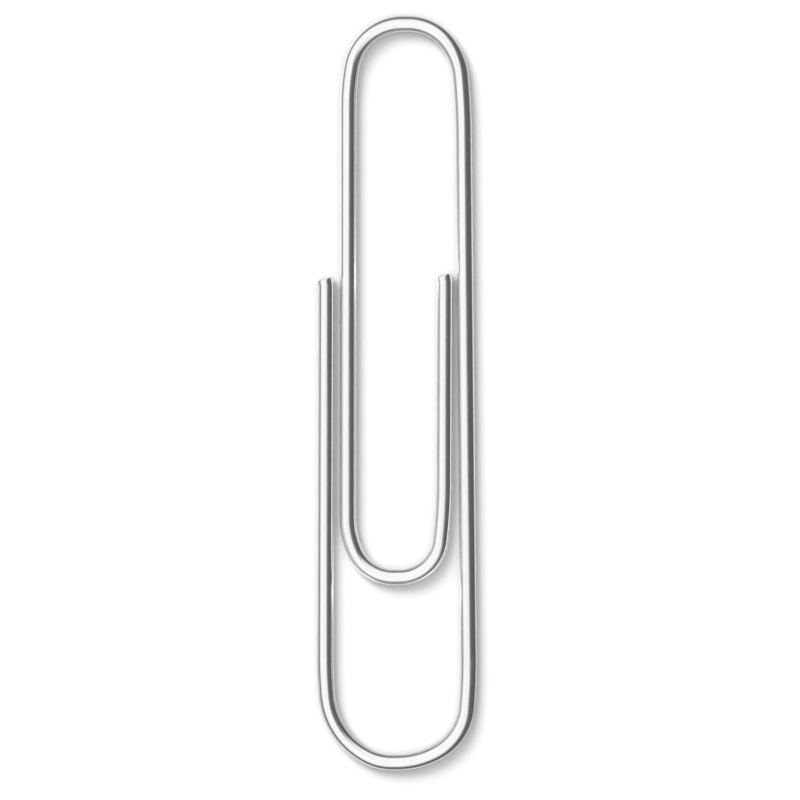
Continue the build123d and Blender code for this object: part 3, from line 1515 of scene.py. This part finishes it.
    def table(self) -> None:
        """Lays the table that the clip lies on."""
        edges = (-self.table_half_width, self.table_half_width)
        table = self.sheet_mesh("white_table", [[(x, y, 0.0) for x in edges] for y in edges])
        table.data.materials.append(FloorFinish().material())

    def cards(self) -> None:
        """Sets up the cards over the clip and in its eyes, for reflections alone; those on the table carry
        painted table shade.
        """
        finish = CardFinish().material()
        for card in (self.dome_card(), *(self.eye_shade_card(name) for name in self.eyes)):
            card.data.materials.append(finish)

    def key_lamp(self) -> None:
        """Hangs a broad soft lamp to the upper left, which the wire doesn't mirror."""
        lamp = bpy.data.lights.new("soft_key", "SUN")
        lamp.energy = self.key_strength
        lamp.angle = math.radians(self.key_spread)
        made = new_object("soft_key", lamp)
        turn, rise = math.radians(self.key_azimuth), math.radians(self.key_elevation)
        towards = Vector((math.cos(rise) * math.cos(turn), math.cos(rise) * math.sin(turn), math.sin(rise)))
        made.rotation_mode = "QUATERNION"
        made.rotation_quaternion = towards.to_track_quat("Z", "Y")
        made.visible_glossy = False

    def surroundings(self) -> None:
        """Makes the white surroundings and the softer light that they give, most of it from overhead."""
        world = bpy.data.worlds.new("white_surroundings")
        world.use_nodes = True
        sheet = NodeSheet(world.node_tree)
        from_table = sheet.add("ShaderNodeLightPath").outputs["Is Diffuse Ray"]
        kept = sheet.math("MAXIMUM", sheet.before_table(), from_table)
        way = sheet.add("ShaderNodeTexCoord").outputs["Generated"]
        height = sheet.math("MAXIMUM", sheet.add("ShaderNodeSeparateXYZ", {0: way}).outputs["Z"], 0.0)
        overhead = sheet.math("POWER", height, self.gather)
        strength = sheet.math("MULTIPLY", kept, sheet.math("MULTIPLY", overhead, self.soft_light(1.0)))
        soft = sheet.add("ShaderNodeBackground", {"Color": WHITE, "Strength": strength})
        seen = sheet.add("ShaderNodeBackground", {"Color": WHITE, "Strength": 1.0})
        feeds = {0: sheet.seen_directly(), 1: soft.outputs[0], 2: seen.outputs[0]}
        sheet.show(sheet.add("ShaderNodeMixShader", feeds), "ShaderNodeOutputWorld")
        bpy.context.scene.world = world

    def build(self) -> None:
        """Sets up the whole stage."""
        self.table()
        self.cards()
        self.key_lamp()
        self.surroundings()
        bpy.context.scene.view_settings.view_transform = "Standard"
        log.info("stage: table, cards, key lamp and surroundings")


@dataclass(frozen=True)
class PhotoCamera:
    """Long lens straight above the clip. Lengths on the clip are in metres, and the lens's in millimetres.

    near and far are the shares of its distance between which it sees.
    """

    lens: float = 500.0
    sensor: float = 36.0
    frame_width: float = 52.963 * MM
    aim: Triple = (0.2026 * MM, -0.4709 * MM, 0.55 * MM)
    near: float = 0.01
    far: float = 10.0

    def build(self) -> None:
        """Sets up the camera, with the clip's top bend at the top of the picture."""
        data = bpy.data.cameras.new("photo_camera")
        data.lens = self.lens
        data.sensor_width = self.sensor
        distance = self.frame_width * self.lens / self.sensor
        data.clip_start = distance * self.near
        data.clip_end = distance * self.far
        made = new_object("photo_camera", data)
        made.location = Vector(self.aim) + Vector((0.0, 0.0, distance))
        bpy.context.scene.camera = made
        log.info("camera: %.0f mm above the clip", distance / MM)


def main() -> None:
    """Builds the clip, its stage and its camera."""
    logging.basicConfig(level=logging.INFO, format="%(name)s: %(message)s")
    effects = Effects()
    kinds = (PlatedFinish(), BentFinish(), ShearedFinish())
    PaperClip().build({finish.work: finish.material(effects) for finish in kinds})
    Studio().build()
    PhotoCamera().build()


if __name__ == "__main__":
    main()
